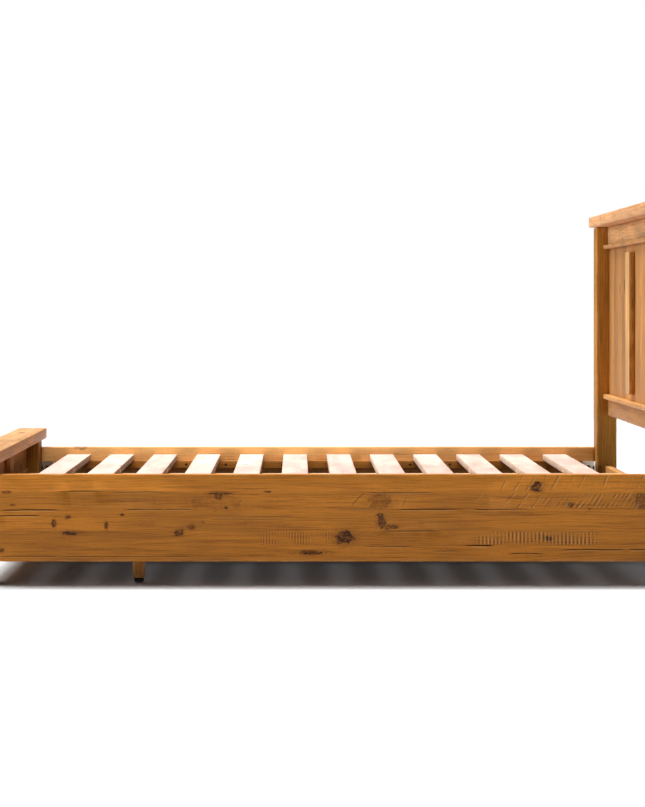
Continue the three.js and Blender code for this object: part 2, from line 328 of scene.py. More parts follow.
def knot_group():
    """One knot. Place and Centre are (along the grain, across it, depth), Size the half length and
    half height. Bend is how far the grain is pushed aside, Heart the knot and the stain about it,
    Bark what is left of its black rim and the black splits in it."""
    tree, given, made = new_group(
        "knot",
        [("Place", "Vector"), ("Centre", "Vector"), ("Size", "Vector")],
        [("Bend", "Float"), ("Heart", "Float"), ("Bark", "Float")],
    )
    place = given["Place"]
    away = split(tree, vector_calc(tree, "SUBTRACT", place, given["Centre"]))
    size = split(tree, given["Size"])
    along = calc(tree, "DIVIDE", away[0], size[0])
    across = calc(tree, "DIVIDE", away[1], size[1])
    flat = vector_calc(tree, "LENGTH", join(tree, along, across, 0.0))
    lumps = noise(tree, place, (48, 66, 20), 4.0, 0.62)
    ragged = calc(tree, "ADD", calc(tree, "MULTIPLY", lumps, 1.7), 0.15)
    radius = calc(tree, "MULTIPLY", flat, ragged)
    core = fade(tree, radius, 0.7, 1.15, 1.0, 0.0)
    halo = fade(tree, radius, 0.9, 2.3, 0.4, 0.0)
    feed(tree, made["Heart"], calc(tree, "MAXIMUM", core, halo))
    rim = calc(tree, "MULTIPLY", fade(tree, radius, 0.45, 0.85), fade(tree, radius, 0.95, 1.2, 1.0, 0.0))
    patchy = fade(tree, noise(tree, place, (75, 95, 9)), 0.40, 0.56, 0.0, 1.0)
    splits = fade(tree, noise(tree, place, (110, 230, 9), 3.0, 0.7), 0.46, 0.55)
    black = calc(tree, "MAXIMUM", calc(tree, "MULTIPLY", rim, patchy), calc(tree, "MULTIPLY", splits, core))
    feed(tree, made["Bark"], black)
    softened = calc(tree, "ADD", calc(tree, "ABSOLUTE", away[1]), calc(tree, "MULTIPLY", size[1], 0.4))
    side = calc(tree, "DIVIDE", away[1], softened)
    reach = calc(tree, "DIVIDE", along, 2.6)
    fall_along = calc(tree, "EXPONENT", calc(tree, "MULTIPLY", calc(tree, "MULTIPLY", reach, reach), -1.0))
    fall_across = calc(tree, "EXPONENT", calc(tree, "MULTIPLY", calc(tree, "ABSOLUTE", across), -0.45))
    push = calc(tree, "MULTIPLY", fall_along, fall_across)
    feed(tree, made["Bend"], calc(tree, "MULTIPLY", calc(tree, "MULTIPLY", side, size[1]), push))
    return tree


KNOT = knot_group()


def scattered_group():
    """Knots strewn over a board: one for each cell of a stretched mesh, where its chance allows."""
    tree, given, made = new_group(
        "scattered_knots",
        [("Place", "Vector"), ("Spacing", "Vector"), ("Chance", "Float"), ("Size", "Float")],
        [("Bend", "Float"), ("Heart", "Float"), ("Bark", "Float")],
    )
    cells = tree.nodes.new("ShaderNodeTexVoronoi")
    cells.voronoi_dimensions = "2D"
    cells.inputs["Scale"].default_value = 1.0
    cells.inputs["Randomness"].default_value = 0.75
    feed(tree, cells.inputs["Vector"], vector_calc(tree, "DIVIDE", given["Place"], given["Spacing"]))
    centre = vector_calc(tree, "MULTIPLY", cells.outputs["Position"], given["Spacing"])
    luck = split(tree, cells.outputs["Color"])
    present = calc(tree, "LESS_THAN", luck[0], given["Chance"])
    factor = calc(tree, "ADD", calc(tree, "MULTIPLY", luck[1], 1.1), 0.35)
    scale = calc(tree, "MULTIPLY", given["Size"], factor)
    size = calc(tree, "ADD", calc(tree, "MULTIPLY", scale, present), 0.00002)
    half = join(tree, calc(tree, "MULTIPLY", size, calc(tree, "ADD", luck[2], 1.0)), size, 1.0)
    knot = use(tree, KNOT, Place=given["Place"], Centre=centre, Size=half)
    for label in ("Bend", "Heart", "Bark"):
        feed(tree, made[label], knot[label])
    return tree


SCATTERED = scattered_group()


def pine_group():
    """Clear pine. Grain is (along, across, depth) in metres, Pith the place of the tree's centre
    in it. Rings are curves about the pith, drawn out along the board, darker in late wood."""
    tree, given, made = new_group(
        "pine_grain",
        [("Grain", "Vector"), ("Pith", "Vector"), ("Bend", "Float"), ("Ring Width", "Float"),
         ("Early", "Color"), ("Late", "Color"), ("Contrast", "Float")],
        [("Color", "Color"), ("Height", "Float"), ("Tone", "Float")],
    )
    grain = given["Grain"]
    xyz = split(tree, vector_calc(tree, "SUBTRACT", grain, given["Pith"]))
    straight = join(tree, 0.0, calc(tree, "SUBTRACT", xyz[1], given["Bend"]), xyz[2])
    from_pith = vector_calc(tree, "LENGTH", straight)
    slow = noise(tree, grain, (1.5, 5, 5), 2.0)
    quick = noise(tree, grain, (7, 45, 45), 2.0)
    wander = calc(tree, "ADD", calc(tree, "MULTIPLY", slow, 0.042), calc(tree, "MULTIPLY", quick, 0.0035))
    turns = calc(tree, "DIVIDE", calc(tree, "ADD", from_pith, wander), given["Ring Width"])
    year = calc(tree, "FRACT", turns)
    late = calc(tree, "MULTIPLY", fade(tree, year, 0.35, 0.9), fade(tree, year, 0.93, 1.0, 1.0, 0.0))
    which = tree.nodes.new("ShaderNodeTexWhiteNoise")
    which.noise_dimensions = "1D"
    feed(tree, which.inputs["W"], calc(tree, "FLOOR", turns))
    strength = calc(tree, "ADD", calc(tree, "MULTIPLY", which.outputs["Value"], 0.75), 0.25)
    late = calc(tree, "MULTIPLY", late, strength)
    fibre = noise(tree, grain, (14, 620, 620), 3.0, 0.6)
    streak = noise(tree, grain, (3.2, 95, 95), 3.0, 0.6)
    blotch = noise(tree, grain, (2.6, 11, 11), 3.0, 0.55)
    streaked = calc(tree, "MULTIPLY", fade(tree, streak, 0.42, 0.78), 0.5)
    body = calc(tree, "ADD", calc(tree, "MULTIPLY", late, 0.42), streaked)
    flecks = fade(tree, noise(tree, grain, (34, 420, 420), 2.0, 0.7), 0.62, 0.74)
    strands = fade(tree, noise(tree, grain, (9, 210, 210), 3.0, 0.65), 0.36, 0.74)
    marks = calc(tree, "ADD", calc(tree, "MULTIPLY", flecks, 0.5), calc(tree, "MULTIPLY", strands, 0.48))
    body = calc(tree, "SUBTRACT", calc(tree, "ADD", body, marks), 0.18)
    mix = calc(tree, "MULTIPLY", body, given["Contrast"], clamp=True)
    wood = blend(tree, mix, given["Early"], given["Late"])
    fine = calc(tree, "MULTIPLY", calc(tree, "SUBTRACT", fibre, 0.5), 0.5)
    shade = calc(tree, "ADD", fade(tree, blotch, 0.30, 0.70, 0.76, 1.18), fine)
    feed(tree, made["Color"], scaled(tree, wood, shade))
    relief = calc(tree, "ADD", calc(tree, "MULTIPLY", late, 0.5), calc(tree, "MULTIPLY", fibre, 0.5))
    feed(tree, made["Height"], relief)
    feed(tree, made["Tone"], blotch)
    return tree


PINE = pine_group()


def crack_group():
    """A split or an opened glue line from Start to End along the grain, at Level across it."""
    tree, given, made = new_group(
        "crack",
        [("Place", "Vector"), ("Start", "Float"), ("End", "Float"), ("Level", "Float"), ("Width", "Float")],
        [("Dark", "Float"), ("Painted Highlight", "Float")],
    )
    place = split(tree, given["Place"])
    wobble = calc(tree, "SUBTRACT", noise(tree, given["Place"], (9, 0.3, 0.3), 3.0), 0.5)
    level = calc(tree, "ADD", given["Level"], calc(tree, "MULTIPLY", wobble, 0.006))
    off = calc(tree, "DIVIDE", calc(tree, "SUBTRACT", place[1], level), given["Width"])
    enter = fade(tree, calc(tree, "SUBTRACT", place[0], given["Start"]), -0.015, 0.02)
    leave = fade(tree, calc(tree, "SUBTRACT", given["End"], place[0]), -0.015, 0.02)
    broken = fade(tree, noise(tree, given["Place"], (22, 1, 1)), 0.28, 0.5)
    window = calc(tree, "MULTIPLY", calc(tree, "MULTIPLY", enter, leave), broken)
    dark = fade(tree, calc(tree, "ABSOLUTE", off), 0.25, 1.0, 1.0, 0.0)
    # The pale line just under the split is a painted highlight: the lit edge of the stave below it.
    painted_highlight = fade(tree, calc(tree, "ABSOLUTE", calc(tree, "ADD", off, 1.7)), 0.2, 0.9, 1.0, 0.0)
    feed(tree, made["Dark"], calc(tree, "MULTIPLY", dark, window))
    feed(tree, made["Painted Highlight"], calc(tree, "MULTIPLY", painted_highlight, window))
    return tree


CRACK = crack_group()


def saw_group():
    """The marks of a saw: lines a Pitch apart that cross the grain in arcs about Hub, between
    From and To along the board and between Low and High across it. Each is a raised Ridge with a
    Groove beside it; Share is how much of the pitch they take."""
    tree, given, made = new_group(
        "saw_marks",
        [("Place", "Vector"), ("Hub", "Vector"), ("Pitch", "Float"), ("From", "Float"), ("To", "Float"),
         ("Low", "Float"), ("High", "Float"), ("Share", "Float")],
        [("Ridge", "Float"), ("Groove", "Float")],
    )
    place = split(tree, given["Place"])
    flat = join(tree, place[0], place[1], 0.0)
    away = vector_calc(tree, "LENGTH", vector_calc(tree, "SUBTRACT", flat, given["Hub"]))
    waver = calc(tree, "MULTIPLY", noise(tree, given["Place"], (14, 6, 1), 3.0), 0.9)
    count = calc(tree, "ADD", calc(tree, "DIVIDE", away, given["Pitch"]), waver)
    swing = calc(tree, "DIVIDE", calc(tree, "SUBTRACT", calc(tree, "FRACT", count), 0.5), given["Share"])
    gates = fade(tree, noise(tree, given["Place"], (19, 42, 1), 3.0), 0.38, 0.62, 0.06, 1.0)
    for gate in (
        fade(tree, calc(tree, "SUBTRACT", place[0], given["From"]), 0.0, 0.05),
        fade(tree, calc(tree, "SUBTRACT", given["To"], place[0]), 0.0, 0.05),
        fade(tree, calc(tree, "SUBTRACT", place[1], given["Low"]), 0.0, 0.004),
        fade(tree, calc(tree, "SUBTRACT", given["High"], place[1]), 0.0, 0.004),
    ):
        gates = calc(tree, "MULTIPLY", gates, gate)
    ridge = fade(tree, calc(tree, "ABSOLUTE", calc(tree, "SUBTRACT", swing, 0.25)), 0.05, 0.3, 1.0, 0.0)
    groove = fade(tree, calc(tree, "ABSOLUTE", calc(tree, "ADD", swing, 0.25)), 0.05, 0.3, 1.0, 0.0)
    feed(tree, made["Ridge"], calc(tree, "MULTIPLY", ridge, gates))
    feed(tree, made["Groove"], calc(tree, "MULTIPLY", groove, gates))
    return tree


SAW = saw_group()


def pine_material(name, along, across, seed, seams=(), early=colour(202, 132, 56),
                  late=colour(122, 62, 14), knots=(), chance=0.3, knot_size=0.009, cracks=(),
                  saws=(), contrast=0.8, uneven=0.16, ring_width=0.0052, gloss=0.5, shades=()):
    """Knotty pine. Each board, and each stave between the seams, has its own grain and shade.
    along and across are the axes of the grain and of the broad face. knots, cracks and saws are
    marks at a place of their own."""
    material = bpy.data.materials.new(name)
    material.use_nodes = True
    tree = material.node_tree
    depth = 3 - along - across
    own = tree.nodes.new("ShaderNodeTexCoord").outputs["Object"]
    xyz = split(tree, own)
    place = join(tree, xyz[along], xyz[across], xyz[depth])
    middle = tree.nodes.new("ShaderNodeAttribute")
    middle.attribute_name = "middle"
    inner = split(tree, vector_calc(tree, "SUBTRACT", own, middle.outputs["Vector"]))
    stave = seed
    for seam in seams:
        stave = calc(tree, "ADD", stave, calc(tree, "GREATER_THAN", xyz[across], seam))
    chosen = tree.nodes.new("ShaderNodeTexWhiteNoise")
    chosen.noise_dimensions = "4D"
    feed(tree, chosen.inputs["Vector"], middle.outputs["Vector"])
    feed(tree, chosen.inputs["W"], stave)
    luck = chosen.outputs["Color"]
    lucky = split(tree, luck)
    shift = vector_calc(tree, "MULTIPLY", luck, (9.0, 5.0, 3.0))
    shifted = vector_calc(tree, "ADD", join(tree, inner[along], inner[across], inner[depth]), shift)
    spread = use(tree, SCATTERED, Place=shifted, Spacing=(0.30, 0.075, 1.0), Chance=chance, Size=knot_size)
    bend, heart, bark = spread["Bend"], spread["Heart"], spread["Bark"]
    for centre_along, centre_across, half_length, half_height, strength in knots:
        one = use(tree, KNOT, Place=place, Centre=(centre_along, centre_across, 0.0),
                  Size=(half_length, half_height, 1.0))
        bend = calc(tree, "ADD", bend, one["Bend"])
        heart = calc(tree, "MAXIMUM", heart, calc(tree, "MULTIPLY", one["Heart"], strength))
        bark = calc(tree, "MAXIMUM", bark, calc(tree, "MULTIPLY", one["Bark"], strength))
    pith_across = fade(tree, lucky[1], 0.0, 1.0, -0.09, 0.09)
    pith_depth = fade(tree, lucky[2], 0.0, 1.0, 0.05, 0.12)
    pith = vector_calc(tree, "ADD", shift, join(tree, 0.0, pith_across, pith_depth))
    grain = use(tree, PINE, Grain=shifted, Pith=pith, Bend=bend, Ring_Width=ring_width,
                Early=early, Late=late, Contrast=contrast)
    tone = fade(tree, lucky[0], 0.0, 1.0, 1.0 - uneven, 1.0 + uneven * 0.7)
    for seam, step in zip(seams, shades):
        tone = calc(tree, "MULTIPLY", tone, fade(tree, xyz[across], seam - 0.004, seam + 0.004, 1.0, step))
    wood = scaled(tree, grain["Color"], tone)
    wood = blend(tree, calc(tree, "MULTIPLY", heart, 0.68), wood, colour(98, 46, 14))
    wood = blend(tree, calc(tree, "MULTIPLY", bark, 0.92), wood, colour(30, 13, 4))
    height = calc(tree, "SUBTRACT", grain["Height"], calc(tree, "MULTIPLY", bark, 1.5))
    for start, end, level, width in cracks:
        line = use(tree, CRACK, Place=place, Start=start, End=end, Level=level, Width=width)
        wood = blend(tree, calc(tree, "MULTIPLY", line["Dark"], 0.85), wood, colour(58, 27, 7))
        # The pale line beside each crack is a painted highlight of the lit stave edge.
        wood = blend(tree, calc(tree, "MULTIPLY", line["Painted Highlight"], 0.5), wood, colour(228, 172, 104))
        height = calc(tree, "SUBTRACT", height, calc(tree, "MULTIPLY", line["Dark"], 3.0))
    for hub_along, hub_across, pitch, start, end, bottom, top, share, light, dark in saws:
        marks = use(tree, SAW, Place=place, Hub=(hub_along, hub_across, 0.0), Pitch=pitch, From=start,
                    To=end, Low=bottom, High=top, Share=share)
        height = calc(tree, "ADD", height, calc(tree, "MULTIPLY", marks["Ridge"], 2.4 * light))
        height = calc(tree, "SUBTRACT", height, calc(tree, "MULTIPLY", marks["Groove"], 2.4 * dark))
        wood = blend(tree, calc(tree, "MULTIPLY", marks["Ridge"], light), wood, colour(232, 176, 108))
        wood = blend(tree, calc(tree, "MULTIPLY", marks["Groove"], dark), wood, colour(92, 44, 10))
    worn = tree.nodes.new("ShaderNodeAttribute")
    worn.attribute_name = "worn"
    rubbed = fade(tree, noise(tree, place, (18, 60, 60), 3.0), 0.35, 0.65)
    bare_edge = calc(tree, "MULTIPLY", calc(tree, "MULTIPLY", worn.outputs["Fac"], rubbed), 0.45)
    wood = blend(tree, bare_edge, wood, colour(228, 172, 104))
    shader = tree.nodes["Principled BSDF"]
    feed(tree, shader.inputs["Base Color"], wood)
    dull = fade(tree, grain["Tone"], 0.3, 0.7, gloss - 0.06, gloss + 0.08)
    polished = calc(tree, "MULTIPLY", heart, 0.08)
    feed(tree, shader.inputs["Roughness"], calc(tree, "SUBTRACT", dull, polished))
    shader.inputs["Specular IOR Level"].default_value = 0.22
    bump = tree.nodes.new("ShaderNodeBump")
    bump.inputs["Strength"].default_value = 0.55
    bump.inputs["Distance"].default_value = 0.0007
    feed(tree, bump.inputs["Height"], height)
    feed(tree, shader.inputs["Normal"], bump.outputs["Normal"])
    return material


# The near rail's marks. Knots: along, height, half length, half height, strength.
NEAR_KNOTS = (
    (-0.761, 0.158, 0.022, 0.006, 1.0), (-0.814, 0.187, 0.006, 0.013, 0.8),
    (-0.770, 0.207, 0.008, 0.005, 0.7), (-0.655, 0.181, 0.005, 0.011, 0.8),
    (-0.606, 0.214, 0.006, 0.004, 0.9), (-0.436, 0.160, 0.013, 0.009, 0.9),
    (-0.395, 0.177, 0.010, 0.009, 0.55), (-0.361, 0.191, 0.005, 0.003, 0.5),
    (-0.310, 0.279, 0.036, 0.0035, 0.85), (-0.314, 0.268, 0.010, 0.011, 0.75),
    (-0.291, 0.235, 0.004, 0.004, 1.0), (-0.165, 0.284, 0.008, 0.003, 1.0),
    (-0.320, 0.255, 0.080, 0.024, 0.22), (0.069, 0.146, 0.027, 0.019, 1.0),
    (0.182, 0.192, 0.012, 0.020, 0.85), (0.175, 0.214, 0.010, 0.006, 0.8),
    (0.210, 0.176, 0.024, 0.007, 0.7), (0.176, 0.256, 0.034, 0.021, 0.35),
    (0.653, 0.298, 0.018, 0.013, 1.0), (0.755, 0.246, 0.009, 0.007, 0.8),
    (0.813, 0.232, 0.004, 0.003, 0.8), (0.688, 0.142, 0.009, 0.006, 0.9),
    (0.974, 0.256, 0.024, 0.022, 0.6), (-0.972, 0.106, 0.008, 0.006, 0.7),
    (-0.032, 0.099, 0.040, 0.006, 0.9), (-0.957, 0.283, 0.014, 0.004, 0.6),
    (-0.940, 0.244, 0.010, 0.003, 0.6),
)
# Splits and open glue lines: start and end along the rail, height, width.
NEAR_CRACKS = (
    (-0.970, -0.805, 0.229, 0.0024), (-0.595, -0.395, 0.2305, 0.0017), (-0.984, -0.860, 0.212, 0.0020),
    (-0.799, -0.661, 0.286, 0.0016), (-0.637, -0.478, 0.283, 0.0014), (0.046, 0.176, 0.2310, 0.0013),
    (0.234, 0.415, 0.2305, 0.0020), (0.465, 0.628, 0.2305, 0.0016), (0.187, 0.346, 0.1650, 0.0018),
    (0.132, 0.269, 0.118, 0.0015), (0.440, 0.519, 0.1215, 0.0030), (0.336, 0.415, 0.104, 0.0018),
    (0.576, 0.666, 0.096, 0.0020), (0.732, 0.985, 0.108, 0.0022), (0.146, 0.328, 0.281, 0.0015),
    (-0.320, -0.090, 0.209, 0.0010), (-0.320, -0.120, 0.200, 0.0009), (-0.980, -0.400, 0.087, 0.0012),
)
# Saw marks: hub along, hub height, pitch, start, end, low, high, share, light, dark.
NEAR_SAWS = (
    (-1.5, 0.14, 0.0085, -0.215, 0.050, 0.122, 0.163, 0.9, 0.10, 0.62),
    (-1.2, 0.12, 0.0115, 0.455, 0.850, 0.122, 0.163, 0.9, 0.46, 0.70),
    (-0.35, 0.85, 0.034, 0.500, 1.1, 0.285, 0.336, 0.24, 0.62, 0.45),
    (-0.15, 0.92, 0.036, 0.450, 1.1, 0.233, 0.281, 0.24, 0.52, 0.50),
    (-0.15, 0.92, 0.0125, 0.640, 1.0, 0.233, 0.281, 0.8, 0.22, 0.45),
    (-0.60, 0.85, 0.040, 0.040, 0.330, 0.233, 0.281, 0.18, 0.12, 0.60),
)
open_seams = [crack[:3] for crack in NEAR_CRACKS if crack[3] > 0.0015]
right_rail = plank(
    "pine_rail_right", *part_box("side_rail_right"), along=0, step=0.012, seams=open_seams, ease=0.003)
build(right_rail, "side_rail_right", None)
NEAR_PARTS = ((-1.2, -0.50), (-0.50, -0.05), (-0.05, 0.43), (0.43, 1.2))
for part, (start, end) in enumerate(NEAR_PARTS):
    right_rail.data.materials.append(pine_material(
        f"near_rail_pine_{part + 1}", along=0, across=2, seed=11.0, seams=STAVE_SEAMS, chance=0.0,
        uneven=0.05, shades=(0.98, 1.02, 1.0, 1.26), contrast=1.0, early=colour(207, 130, 42),
        late=colour(110, 50, 6),
        knots=[knot for knot in NEAR_KNOTS if start - 0.05 < knot[0] < end + 0.05],
        cracks=[crack for crack in NEAR_CRACKS if crack[1] > start and crack[0] < end],
        saws=[marks for marks in NEAR_SAWS if marks[4] > start and marks[3] < end],
    ))
for face in right_rail.data.polygons:
    face.material_index = sum(face.center.x > end for start, end in NEAR_PARTS)

FAR_CRACKS = ((-0.7, -0.2, 0.231, 0.0016), (0.1, 0.6, 0.165, 0.0016), (-0.4, 0.3, 0.283, 0.0014))
left_rail = plank(
    "pine_rail_left", *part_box("side_rail_left"), along=0, step=0.02, ease=0.003,
    seams=[crack[:3] for crack in FAR_CRACKS])
far_rail_pine = pine_material(
    "far_rail_pine", along=0, across=2, seed=37.0, seams=STAVE_SEAMS, chance=0.35, cracks=FAR_CRACKS,
    early=colour(250, 196, 126), late=colour(190, 126, 62),
    saws=((-0.3, 0.80, 0.048, -0.9, 0.2, 0.233, 0.281, 0.2, 0.5, 0.3),
          (-0.6, -0.4, 0.012, 0.2, 0.8, 0.122, 0.163, 0.9, 0.3, 0.4)),
)
build(left_rail, "side_rail_left", far_rail_pine)

# LEDGERS. A pine batten is screwed and glued along the inside of each rail and carries the slats'
# ends. The screws are countersunk and have gone dull.
ledger_pine = pine_material("ledger_pine", along=0, across=2, seed=5.0, chance=0.3, knot_size=0.006)


def worn_steel(name, tint, rough, rust=0.0, metallic=1.0):
    """Plated steel: a cloudy plating with fine scratches, and rust in its pits."""
    material = bpy.data.materials.new(name)
    material.use_nodes = True
    tree = material.node_tree
    place = tree.nodes.new("ShaderNodeTexCoord").outputs["Object"]
    spangle = tree.nodes.new("ShaderNodeTexVoronoi")
    spangle.inputs["Scale"].default_value = 260
    feed(tree, spangle.inputs["Vector"], place)
    flake = split(tree, spangle.outputs["Color"])[0]
    cloud = noise(tree, place, (60, 60, 60), 4.0, 0.6)
    scratch = fade(tree, noise(tree, place, (900, 900, 40), 2.0), 0.62, 0.7)
    shade = calc(tree, "ADD", calc(tree, "MULTIPLY", flake, 0.16), fade(tree, cloud, 0.3, 0.7, 0.78, 1.0))
    metal = scaled(tree, tint[:3], shade)
    metal = blend(tree, calc(tree, "MULTIPLY", scratch, 0.25), metal, (0.9, 0.9, 0.9, 1))
    pits = fade(tree, noise(tree, place, (170, 170, 170), 4.0, 0.7), 0.56, 0.68)
    pitted = calc(tree, "MULTIPLY", pits, rust)
    metal = blend(tree, pitted, metal, colour(112, 62, 30))
    shader = tree.nodes["Principled BSDF"]
    feed(tree, shader.inputs["Base Color"], metal)
    rusted = calc(tree, "MULTIPLY", pitted, 0.9 * metallic)
    feed(tree, shader.inputs["Metallic"], calc(tree, "SUBTRACT", metallic, rusted))
    feed(tree, shader.inputs["Roughness"], fade(tree, cloud, 0.25, 0.75, rough - 0.08, rough + 0.12))
    bump = tree.nodes.new("ShaderNodeBump")
    bump.inputs["Strength"].default_value = 0.35
    bump.inputs["Distance"].default_value = 0.0003
    feed(tree, bump.inputs["Height"], calc(tree, "ADD", cloud, calc(tree, "MULTIPLY", pitted, 1.5)))
    feed(tree, shader.inputs["Normal"], bump.outputs["Normal"])
    return material


def screw_head(place, facing, radius, depth, sides=24, socket=0.42):
    """A screw's or a bolt's head that stands out by depth, with a socket for the driver."""
    turn = facing.to_track_quat("Z", "Y").to_euler()
    bpy.ops.mesh.primitive_cylinder_add(
        vertices=sides, radius=radius, depth=depth, location=place + facing * depth / 2, rotation=turn)
    head = bpy.context.object
    bpy.ops.object.transform_apply(location=True, rotation=True, scale=True)
    bpy.ops.object.mode_set(mode="EDIT")
    bpy.ops.mesh.select_all(action="SELECT")
    bpy.ops.mesh.bevel(offset=depth * 0.22, segments=2, affect="EDGES", clamp_overlap=True)
    bpy.ops.object.mode_set(mode="OBJECT")
    top = max(head.data.polygons, key=lambda face: face.center.dot(facing) + face.area)
    for face in head.data.polygons:
        face.select = face.index == top.index
    bpy.ops.object.mode_set(mode="EDIT")
    bpy.ops.mesh.select_mode(type="FACE")
    bpy.ops.mesh.inset(thickness=radius * (1 - socket) - depth * 0.22, depth=0)
    bpy.ops.mesh.extrude_region_move(TRANSFORM_OT_translate={"value": -facing * depth * 0.55})
    bpy.ops.object.mode_set(mode="OBJECT")
    return head


def fuse(name, pieces, material, body="bed_frame", node=None):
    """Joins pieces of one kind into one object with its material and body, and hides the CAD node that it
    stands in for, if one is given.
    """
    bpy.ops.object.select_all(action="DESELECT")
    for piece in pieces:
        piece.select_set(True)
    bpy.context.view_layer.objects.active = pieces[0]
    if len(pieces) > 1:
        bpy.ops.object.join()
    joined = bpy.context.object
    joined.name = name
    bpy.ops.object.shade_smooth_by_angle(angle=radians(35))
    joined.select_set(False)
    build(joined, node, material, body)


SCREWS_ALONG = (-0.880, -0.680, -0.475, -0.332, -0.128, 0.128, 0.332, 0.475, 0.680, 0.880)
SCREW_HEIGHT = 0.275
screw_steel = worn_steel("screw_steel", colour(66, 56, 46), 0.45, rust=0.6)
for side, sign in (("left", 1), ("right", -1)):
    node = f"slat_ledger_{side}"
    low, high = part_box(node)
    build(plank(f"pine_ledger_{side}", low, high, along=0, ease=0.0015), node, ledger_pine)
    inner_face = low.y if sign > 0 else high.y
    heads = []
    for x in SCREWS_ALONG:
        place = Vector((x, inner_face, SCREW_HEIGHT))
        heads.append(screw_head(place, Vector((0, -sign, 0)), radius=0.0042, depth=0.0011))
    fuse(f"ledger_screws_{side}", heads, screw_steel)

# HEADBOARD. Two square-edged posts carry a thick cap. Between them stand eleven tongued boards,
# held by a top and a bottom rail with a small bead along each, and a muntin over the middle one.
# A low rail ties the posts together. All of it is waxed pine; the muntin's sides take the darker
# post pine as painted shade, and the top rail a lighter pine as painted light against the cap's shade.
upright_pine = pine_material(
    "headboard_upright_pine", along=2, across=1, seed=3.0, chance=0.32, contrast=1.1, uneven=0.2,
    early=colour(204, 146, 82), late=colour(124, 72, 26))
post_pine = pine_material(
    "headboard_post_pine", along=2, across=0, seed=17.0, chance=0.25, contrast=0.95,
    early=colour(188, 131, 50), late=colour(102, 57, 9))
cross_pine = pine_material(
    "headboard_cross_pine", along=1, across=2, seed=8.0, chance=0.25, contrast=0.9,
    early=colour(212, 154, 92), late=colour(136, 82, 34))
cap_pine = pine_material(
    "cap_pine", along=1, across=0, seed=23.0, chance=0.3, contrast=0.9, uneven=0.08,
    early=colour(226, 172, 122), late=colour(160, 104, 58),
    saws=((0.4, 1.4, 0.016, -1.0, 1.0, 0.9, 1.2, 0.5, 0.25, 0.2),))
# The top rail's pine is lighter than the other rails' as painted light, against the shade under the cap.
painted_light_top_rail_pine = pine_material(
    "headboard_top_rail_painted_light_pine", along=1, across=2, seed=9.0, chance=0.2, contrast=0.9,
    early=colour(244, 190, 128), late=colour(170, 112, 60))
muntin_pine = pine_material(
    "headboard_muntin_pine", along=2, across=1, seed=4.0, chance=0.2, contrast=0.7,
    early=colour(230, 180, 118), late=colour(160, 104, 52))
for side in ("left", "right"):
    node = f"head_post_{side}"
    build(plank(f"pine_{node}", *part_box(node), along=2, ease=0.003), node, post_pine)
build(plank("pine_head_cap", *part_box("head_cap"), along=1, ease=0.004), "head_cap", cap_pine)
for node in ("head_top_rail", "head_bottom_rail", "head_lower_rail"):
    rail_pine = painted_light_top_rail_pine if node == "head_top_rail" else cross_pine
    build(plank(f"pine_{node}", *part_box(node), along=1), node, rail_pine)
for node in ("head_bead_top", "head_bead_bottom"):
    bead = plank(f"pine_{node}", *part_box(node), along=1, ease=0.003, dent=0.0008)
    build(bead, node, cross_pine)
muntin = plank("pine_head_muntin", *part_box("head_muntin"), along=2)
build(muntin, "head_muntin", muntin_pine)
# Its side faces take the darker post pine as painted shade; its front keeps the muntin's own pine.
muntin.data.materials.append(post_pine)
for face in muntin.data.polygons:
    face.material_index = int(abs(face.normal.y) > 0.7)
for number in range(1, 12):
    node = f"head_board_{number:02d}"
    board = plank(f"pine_{node}", *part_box(node), along=2, ease=0.002, dent=0.0009)
    build(board, node, upright_pine)

# FOOTBOARD. Short posts under a cap like the headboard's, with a rail below, one wide panel let
# in between, and a muntin over its middle.
for side in ("left", "right"):
    node = f"foot_post_{side}"
    post = plank(f"pine_{node}", *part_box(node), along=2, ease=0.003, step=0.02)
    build(post, node, post_pine)
build(plank("pine_foot_cap", *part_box("foot_cap"), along=1, ease=0.004), "foot_cap", cap_pine)
build(plank("pine_foot_rail", *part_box("foot_rail"), along=1), "foot_rail", cross_pine)
foot_panel = plank("pine_foot_panel", *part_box("foot_panel"), along=1, ease=0.001)
build(foot_panel, "foot_panel", cross_pine)
foot_muntin = plank("pine_foot_muntin", *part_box("foot_muntin"), along=2, step=0.02)
build(foot_muntin, "foot_muntin", upright_pine)

# SLATS. Twelve loose slats of planed, unfinished pine lie across the bed on the ledgers and the
# centre beam. They are pale, with a few small knots.
slat_pine = pine_material(
    "slat_pine", along=1, across=0, seed=29.0, chance=0.22, knot_size=0.005, contrast=0.42,
    early=colour(232, 207, 196), late=colour(204, 163, 138), uneven=0.05, gloss=0.62)
for number in range(1, 13):
    node = f"slat_{number:02d}"
    slat = plank(f"bare_{node}", *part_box(node), along=1, ease=0.0022, dent=0.0007, sway=0.0005)
    build(slat, node, slat_pine)

# CENTRE BEAM. A planed pine beam under the middle of the slats, hung at both ends in a folded
# steel hanger that is nailed to the headboard's and the footboard's low rail.
beam_pine = pine_material(
    "beam_pine", along=0, across=2, seed=41.0, chance=0.3, contrast=0.5,
    early=colour(244, 214, 176), late=colour(208, 158, 108), gloss=0.6)
build(plank("bare_centre_beam", *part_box("centre_beam"), along=0), "centre_beam", beam_pine)
hanger_steel = worn_steel("hanger_steel", colour(196, 192, 184), 0.36, rust=0.25)
for end in ("head", "foot"):
    node = f"beam_hanger_{end}"
    hanger = bpy.data.objects[node]
    hanger.data.materials.clear()
    hanger.data.materials.append(hanger_steel)

# SUPPORT LEGS AND GLIDES. Three square waxed legs, under both ledgers and under the beam. Each has
# a threaded stud in its foot, and a black moulded glide on the stud, screwed in or out to level it.
leg_pine = pine_material("leg_pine", along=2, across=0, seed=13.0, chance=0.2, knot_size=0.005)
stud_steel = worn_steel("stud_steel", colour(190, 186, 176), 0.3, rust=0.1)


